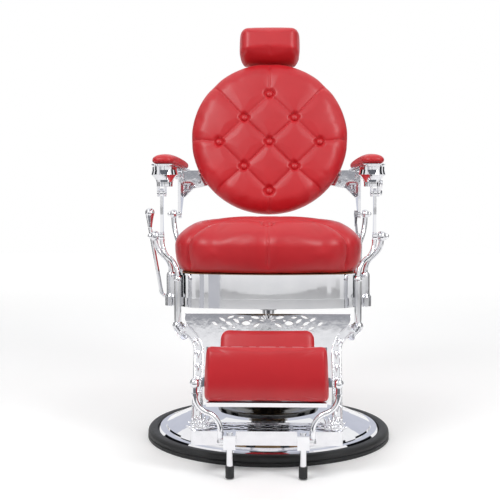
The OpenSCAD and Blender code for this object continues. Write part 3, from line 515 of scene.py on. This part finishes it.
def cover_height(piece, place, u, v):
    """The height of the cover over its own plane at one spot, on its front."""
    to_flat = np.array(place.inverted())
    flat = positions(piece.data) @ to_flat[:3, :3].T + to_flat[:3, 3]
    near = np.hypot(flat[:, 0] - u, flat[:, 1] - v)
    near[flat[:, 2] < np.median(flat[:, 2])] = 1
    return flat[np.argmin(near), 2]


def finish_piece(piece, material, body, replaces=()):
    piece.data.materials.clear()
    piece.data.materials.append(material)
    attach(piece, body)
    if replaces:
        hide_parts(*replaces)
    return piece


def turned(name, profile, place, around=32):
    """A closed turned shape: the profile runs as (radius, height) from the bottom pole to the top pole."""
    verts = [place @ Vector((0, 0, profile[0][1]))]
    for r, z in profile[1:-1]:
        angles = [2 * math.pi * k / around for k in range(around)]
        verts += [place @ Vector((r * math.cos(a), r * math.sin(a), z)) for a in angles]
    verts.append(place @ Vector((0, 0, profile[-1][1])))
    rows = len(profile) - 2
    faces = []
    for k in range(around):
        n = (k + 1) % around
        faces.append((0, 1 + n, 1 + k))
        faces += [(1 + r * around + k, 1 + r * around + n, 1 + (r + 1) * around + n, 1 + (r + 1) * around + k)
                  for r in range(rows - 1)]
        faces.append((1 + (rows - 1) * around + k, 1 + (rows - 1) * around + n, len(verts) - 1))
    return new_piece(name, verts, faces)


def swept_cord(name, points, radius, sides=10, closed=True):
    """A round cord along a line of points, such as the piping in a seam."""
    count = len(points)
    line = [Vector(p) for p in points]
    verts, faces = [], []
    for i, point in enumerate(line):
        ahead = line[(i + 1) % count] if closed or i < count - 1 else line[i]
        behind = line[(i - 1) % count] if closed or i > 0 else line[i]
        along = (ahead - behind).normalized()
        side = along.cross(Vector((0.13, 0.21, 0.97))).normalized()
        up = side.cross(along)
        for k in range(sides):
            a = 2 * math.pi * k / sides
            verts.append(point + radius * (math.cos(a) * side + math.sin(a) * up))
    for i in range(count if closed else count - 1):
        j = (i + 1) % count
        for k in range(sides):
            n = (k + 1) % sides
            faces.append((i * sides + k, j * sides + k, j * sides + n, i * sides + n))
    if not closed:
        faces.append(tuple(range(sides))[::-1])
        faces.append(tuple((count - 1) * sides + k for k in range(sides)))
    mesh = bpy.data.meshes.new(name)
    mesh.from_pydata(verts, [], faces)
    mesh.shade_smooth()
    piece = bpy.data.objects.new(name, mesh)
    bpy.context.scene.collection.objects.link(piece)
    return piece


def merge(name, pieces):
    """One piece made of several, each still its own closed shape."""
    bpy.ops.object.select_all(action="DESELECT")
    for piece in pieces:
        piece.select_set(True)
    bpy.context.view_layer.objects.active = pieces[0]
    bpy.ops.object.join()
    pieces[0].name = name
    return pieces[0]


# ---- Frames of the leaning parts, worked out from the record's joints ----

BACK_PIVOT = Vector(joints["recline"]["pos_m"])
UP_THE_BACK = Vector(joints["headrest_slide"]["axis"]).normalized()
BACK_LEAN = math.atan2(UP_THE_BACK.y, UP_THE_BACK.z)


def back_matrix(height, forward):
    out = Vector((0, -UP_THE_BACK.z, UP_THE_BACK.y))
    origin = BACK_PIVOT + height * UP_THE_BACK + forward * out
    return Matrix(((1, 0, 0, 0),
                   (0, UP_THE_BACK.y, out.y, origin.y),
                   (0, UP_THE_BACK.z, out.z, origin.z),
                   (0, 0, 0, 1)))


# ---- Materials on the CAD pieces ----

materials = {
    "chrome_steel": polished_plate(),
    "cast_chrome": polished_casting(),
    "machined_steel": turned_steel(),
    "cast_iron": painted_iron(),
    "black_enamel": stove_enamel(),
    "rubber": ribbed_rubber(),
    "plywood": birch_ply(),
    "red_vinyl": red_vinyl(),
}


def dress_nodes():
    for row in frame["record"]["subparts"]:
        mesh = nodes[row["node"]].data
        mesh.materials.clear()
        mesh.materials.append(materials[row["material_slot"]])


# ---- Covered buttons ----

BUTTON_PROFILE = [(0, -0.008), (0.0085, -0.008), (0.0108, -0.005), (0.0117, -0.001), (0.0113, 0.0018),
                  (0.0098, 0.0043), (0.0072, 0.0062), (0.0038, 0.0073), (0, 0.0077)]


def covered_buttons(name, cover, place, spots, body, sink=-0.0015, replaces=()):
    """Vinyl-covered buttons, each pulled into its dimple."""
    made = []
    for u, v in spots:
        seat = place @ Matrix.Translation((u, v, cover_height(cover, place, u, v) - sink))
        made.append(turned(name, BUTTON_PROFILE, seat))
    return finish_piece(merge(name, made), materials["red_vinyl"], body, replaces)


# ---- Seat cushion ----

seat_low, seat_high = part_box("seat_cushion")
SEAT_THICK = seat_high[2] - seat_low[2]
SEAT_RIM = 0.070
SEAT_BUTTONS = [(0, -0.19), (-0.09, -0.105), (0.09, -0.105), (-0.18, -0.02), (0, -0.02), (0.18, -0.02),
                (-0.09, 0.065), (0.09, 0.065)]
SEAT_FOLDS = [((0, -0.19), (0, -0.40), 0.9),
              ((0, -0.19), (0.09, -0.105), 0.8), ((0, -0.19), (-0.09, -0.105), 0.8),
              ((0.09, -0.105), (0.26, -0.235), 1.3), ((-0.09, -0.105), (-0.26, -0.235), 1.3),
              ((0.09, -0.105), (0.18, -0.02), 0.8), ((-0.09, -0.105), (-0.18, -0.02), 0.8),
              ((0.09, -0.105), (0, -0.02), 0.8), ((-0.09, -0.105), (0, -0.02), 0.8),
              ((0, -0.02), (0.09, 0.065), 0.8), ((0, -0.02), (-0.09, 0.065), 0.8),
              ((0.18, -0.02), (0.09, 0.065), 0.8), ((-0.18, -0.02), (-0.09, 0.065), 0.8),
              ((0.18, -0.02), (0.4, -0.02), 0.8), ((-0.18, -0.02), (-0.4, -0.02), 0.8),
              ((0.09, 0.065), (0.22, 0.19), 1.0), ((-0.09, 0.065), (-0.22, 0.19), 1.0),
              ((0.09, 0.065), (0, 0.15), 0.8), ((-0.09, 0.065), (0, 0.15), 0.8), ((0, 0.15), (0, 0.3), 0.8)]


def make_seat_cushion():
    half = seat_high[0]
    outline = seat_outline(half + 0.002, -seat_low[1] - 0.003, seat_high[1] - 0.003, 0.020, 0.118, 0.060)
    place = Matrix.Translation((0, 0, seat_low[2]))

    def front(u, v, d):
        crown = 0.022 * (1 - np.clip(np.hypot(u / half, (v + 0.03) / 0.23), 0, 1) ** 2)
        side = rolled_edge(d, 0.088, SEAT_THICK - SEAT_RIM - 0.018, 2.0)
        return SEAT_RIM + side + crown * np.clip(d / 0.06, 0, 1)

    def back(u, v, d):
        return SEAT_RIM - rolled_edge(d, 0.024, SEAT_RIM - 0.0005, 2.2)

    cover = shell("seat_cushion_cover", outline, front, back, place, around=150, rings=26)
    plump(cover, 0.006)
    refine(cover, 2)
    draw_in(cover, place, lambda u, v: tufting(u, v, SEAT_BUTTONS, SEAT_FOLDS, 0.020, 0.010), 0.002, 0.03)
    finish_piece(cover, materials["red_vinyl"], "seat", ["seat_cushion"])
    covered_buttons("seat_buttons", cover, place, SEAT_BUTTONS, "seat")


# ---- Back cushion ----

BACK_MID = 0.250
BACK_R = 0.256
BACK_HALF = 0.040
PITCH = 0.160
DROP = 0.022
BACK_GRID = [(0, 0), (2, 0), (-2, 0), (0, 2), (0, -2), (1, 1), (1, -1), (-1, 1), (-1, -1)]
BACK_BUTTONS = [(i * PITCH / 2, j * PITCH / 2 - DROP) for i, j in BACK_GRID]


def back_folds():
    """Folds between neighbouring buttons, and one from each outer button to the rim."""
    folds = []
    for (i, j), spot in zip(BACK_GRID, BACK_BUTTONS):
        for (k, m), other in zip(BACK_GRID, BACK_BUTTONS):
            if k > i and abs(k - i) == 1 and abs(m - j) == 1:
                folds.append((spot, other, 1.0))
        if (i, j) != (0, 0):
            heading = math.atan2(j, i)
            folds.append((spot, (0.246 * math.cos(heading), 0.246 * math.sin(heading) - DROP * 0.5), 0.8))
    return folds


def make_back_cushion():
    place = back_matrix(BACK_MID, 0)

    def front(u, v, d):
        crown = 0.010 * (1 - (np.hypot(u, v) / BACK_R) ** 2)
        return rolled_edge(d, 0.052, BACK_HALF - 0.012, 2.2) + crown

    def back(u, v, d):
        return -rolled_edge(d, 0.030, BACK_HALF - 0.0005, 2.4)

    cover = shell("back_cushion_cover", disc_outline(BACK_R - 0.002), front, back, place,
                  around=150, rings=28)
    plump(cover, 0.004)
    refine(cover, 2)
    folds = back_folds()
    draw_in(cover, place, lambda u, v: tufting(u, v, BACK_BUTTONS, folds, 0.015, 0.0085), -0.01, 0.012)
    finish_piece(cover, materials["red_vinyl"], "back", ["back_cushion"])
    covered_buttons("back_cover_buttons", cover, place, BACK_BUTTONS, "back", replaces=["back_buttons"])


# ---- Headrest, calf, foot and arm pads ----


def make_headrest():
    """The lower lip of the pad falls back behind the top of the back cushion."""
    place = back_matrix(0.5625, 0)

    def front(u, v, d):
        fall = np.clip((-v - 0.020) / 0.040, 0, 1)
        return -0.010 + rolled_edge(d, 0.030, 0.056, 2.2) - 0.030 * fall * fall * (3 - 2 * fall)

    def back(u, v, d):
        return -0.010 - rolled_edge(d, 0.012, 0.0095, 2.4)

    cover = shell("headrest_cover", rounded_outline(0.196, 0.117, 0.026), front, back, place,
                  around=110, rings=18)
    plump(cover, 0.003)
    refine(cover, 1)
    finish_piece(cover, materials["red_vinyl"], "headrest", ["headrest_cushion"])


def pad_on_flat(name, outline, place, thick, rim, roll, crown, body, replaced, dense=90):
    """A plain upholstered pad with a flat underside and rolled edges."""
    spread_u = max(abs(p[0]) for p in outline)
    spread_v = max(abs(p[1]) for p in outline)

    def front(u, v, d):
        dome = crown * (1 - (u / spread_u) ** 2) * (1 - (v / spread_v) ** 2)
        return rim + rolled_edge(d, roll, thick - rim - crown - 0.002, 2.3) + dome

    def back(u, v, d):
        return rim - rolled_edge(d, 0.4 * roll, rim - 0.0005, 2.4)

    cover = shell(name, outline, front, back, place, around=dense, rings=18)
    plump(cover, 0.0025)
    refine(cover, 1)
    finish_piece(cover, materials["red_vinyl"], body, [replaced])
    return cover


LEG_TOP = Vector((0, -0.222, 0.383))
LEG_LEAN = math.radians(24)


def leg_matrix(height, out):
    """u across, v up the leg frame, w out of its face."""
    up = Vector((0, math.sin(LEG_LEAN), math.cos(LEG_LEAN)))
    face = Vector((0, -math.cos(LEG_LEAN), math.sin(LEG_LEAN)))
    at = LEG_TOP + height * up + out * face
    return Matrix(((1, 0, 0, at.x), (0, up.y, face.y, at.y), (0, up.z, face.z, at.z), (0, 0, 0, 1)))


def make_calf_pad():
    pad_on_flat("calf_pad_cover", rounded_outline(0.254, 0.136, 0.024), leg_matrix(-0.117, 0.0023),
                0.030, 0.012, 0.022, 0.006, "legrest", "calf_pad")


def make_foot_pad():
    """A D-section bolster, fullest low down and a little narrower along the top."""
    low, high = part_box("footrest_pad")
    at = (0, high[1], (low[2] + high[2]) / 2)
    place = Matrix(((1, 0, 0, at[0]), (0, 0, -1, at[1]), (0, 1, 0, at[2]), (0, 0, 0, 1)))
    half = (high[2] - low[2]) / 2
    thick = high[1] - low[1]

    def front(u, v, d):
        share = np.clip((v / half + 1) / 2, 0, 1)
        bow = (thick - 0.019) * np.clip(4 * share**0.75 * (1 - share**0.75), 0, 1) ** 0.75
        return 0.012 + rolled_edge(d, 0.012, 0.006, 2.2) + bow * np.clip(d / 0.010, 0, 1) ** 0.6

    def back(u, v, d):
        return 0.012 - rolled_edge(d, 0.008, 0.0115, 2.4)

    outline = rounded_outline(high[0] - low[0] - 0.003, 2 * half - 0.003, 0.013)
    outline = [(x * (1 - 0.034 * (y / half + 1) / 2), y) for x, y in outline]
    cover = shell("foot_pad_cover", outline, front, back, place, around=130, rings=22)
    plump(cover, 0.0025)
    refine(cover, 1)
    finish_piece(cover, materials["red_vinyl"], "foot_pad", ["footrest_pad"])


def make_arm_pads():
    for side in ("left", "right"):
        low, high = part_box("armrest_pad_" + side)
        place = Matrix.Translation(((low[0] + high[0]) / 2, (low[1] + high[1]) / 2, low[2]))
        outline = rounded_outline(high[0] - low[0] - 0.003, high[1] - low[1] - 0.004, 0.022)
        pad_on_flat("arm_pad_cover_" + side, outline, place, high[2] - low[2] + 0.004, 0.008, 0.030, 0.006,
                    "armrest_" + side[0], "armrest_pad_" + side, dense=120)


# ---- Cast ornament on the leg frames and the step ----


def petal(name, place, length, width, height, steps=10, around=12):
    """A leaf-shaped boss on the casting: round at its foot, pointed at its tip, closed underneath."""
    verts, faces = [], []
    for i in range(steps + 1):
        t = i / steps
        half = width / 2 * math.sin(math.pi * min(1, t * 0.92 + 0.08)) ** 0.7 * (1 - 0.35 * t) + 0.0002
        for k in range(around):
            a = 2 * math.pi * k / around
            rise = height * math.sin(a) if math.sin(a) > 0 else 0.0015 * math.sin(a)
            top = rise * (0.35 + 0.65 * math.sin(math.pi * t) ** 0.6)
            verts.append(place @ Vector((half * math.cos(a), t * length, top)))
    for i in range(steps):
        for k in range(around):
            n = (k + 1) % around
            faces.append((i * around + k, i * around + n, (i + 1) * around + n, (i + 1) * around + k)[::-1])
    faces.append(tuple(range(around)))
    faces.append(tuple(steps * around + k for k in range(around))[::-1])
    return new_piece(name, verts, faces)


def turned_to(place, u, v, degrees, lift=0.0):
    return place @ Matrix.Translation((u, v, lift)) @ Matrix.Rotation(math.radians(degrees), 4, "Z")


def arc_points(centre, radius, start, stop, count):
    angles = [math.radians(start + (stop - start) * i / count) for i in range(count + 1)]
    return [(centre[0] + radius * math.cos(a), centre[1] + radius * math.sin(a)) for a in angles]


LEG_OUTER = arc_points((0.252, -0.108), 0.056, 105, 180, 16) + [(0.196, -0.30)]
LEG_INNER = arc_points((0.258, -0.112), 0.088, 118, 180, 16) + [(0.170, -0.30)]


def make_leg_ornament():
    """A raised bead along both edges of each leg frame, and a run of acanthus leaves down the middle."""
    face = 0.009
    for side, sign in (("left", -1), ("right", 1)):
        made = []
        for line, inset in ((LEG_OUTER, -0.003), (LEG_INNER, 0.003)):
            dense = resample_open(line, 60)
            route = [leg_matrix(0, face) @ Vector((sign * (x + inset), y, 0)) for x, y in dense]
            made.append(swept_cord("bead", route, 0.0028, 8, closed=False))
        middle = [((a[0] + b[0]) / 2, (a[1] + b[1]) / 2) for a, b in zip(resample_open(LEG_OUTER, 40),
                                                                        resample_open(LEG_INNER, 40))]
        for i in range(6, 37, 5):
            x, y = middle[i]
            ahead = middle[i + 3]
            heading = math.degrees(math.atan2(ahead[1] - y, ahead[0] - x)) - 90
            for turn, size in ((0, 1.0), (38, 0.72), (-38, 0.72)):
                spin = sign * (heading + turn)
                made.append(petal("leaf", turned_to(leg_matrix(0, face), sign * x, y, spin), 0.024 * size,
                                  0.009 * size, 0.0045))
        finish_piece(merge("leg_ornament_" + side, made), materials["cast_chrome"], "legrest")


def resample_open(points, count):
    """An open line again, with count points at equal spacing."""
    line = np.array(points, float)
    along = np.concatenate([[0], np.cumsum(np.linalg.norm(np.diff(line, axis=0), axis=1))])
    wanted = np.linspace(0, along[-1], count)
    return list(zip(np.interp(wanted, along, line[:, 0]), np.interp(wanted, along, line[:, 1])))


# ribs, rib length, rib width, fan in degrees, lift: the three rings of a scallop shell
SHELL_RINGS = [(9, 0.040, 0.0105, 150, 0.0), (6, 0.027, 0.010, 110, 0.004), (3, 0.016, 0.009, 60, 0.007)]


def make_step_shells():
    """A scallop shell cast on each end of the step, where the leg frame lands on it."""
    low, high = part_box("foot_step")
    for side, sign in (("left", -1), ("right", 1)):
        root = Vector((sign * (high[0] - 0.024), low[1] + 0.010, high[2] - 0.002))
        place = Matrix(((1, 0, 0, root.x), (0, 0.35, -0.937, root.y), (0, 0.937, 0.35, root.z), (0, 0, 0, 1)))
        made = []
        for count, length, width, fan, lift in SHELL_RINGS:
            for i in range(count):
                angle = -fan / 2 + fan * i / (count - 1)
                made.append(petal("rib", turned_to(place, 0, 0.002, angle, lift), length, width, 0.006))
        finish_piece(merge("step_shell_" + side, made), materials["cast_chrome"], "legrest")


set_camera()
set_studio()
dress_nodes()
make_leg_ornament()
make_step_shells()
make_seat_cushion()
make_back_cushion()
make_headrest()
make_calf_pad()
make_foot_pad()
make_arm_pads()
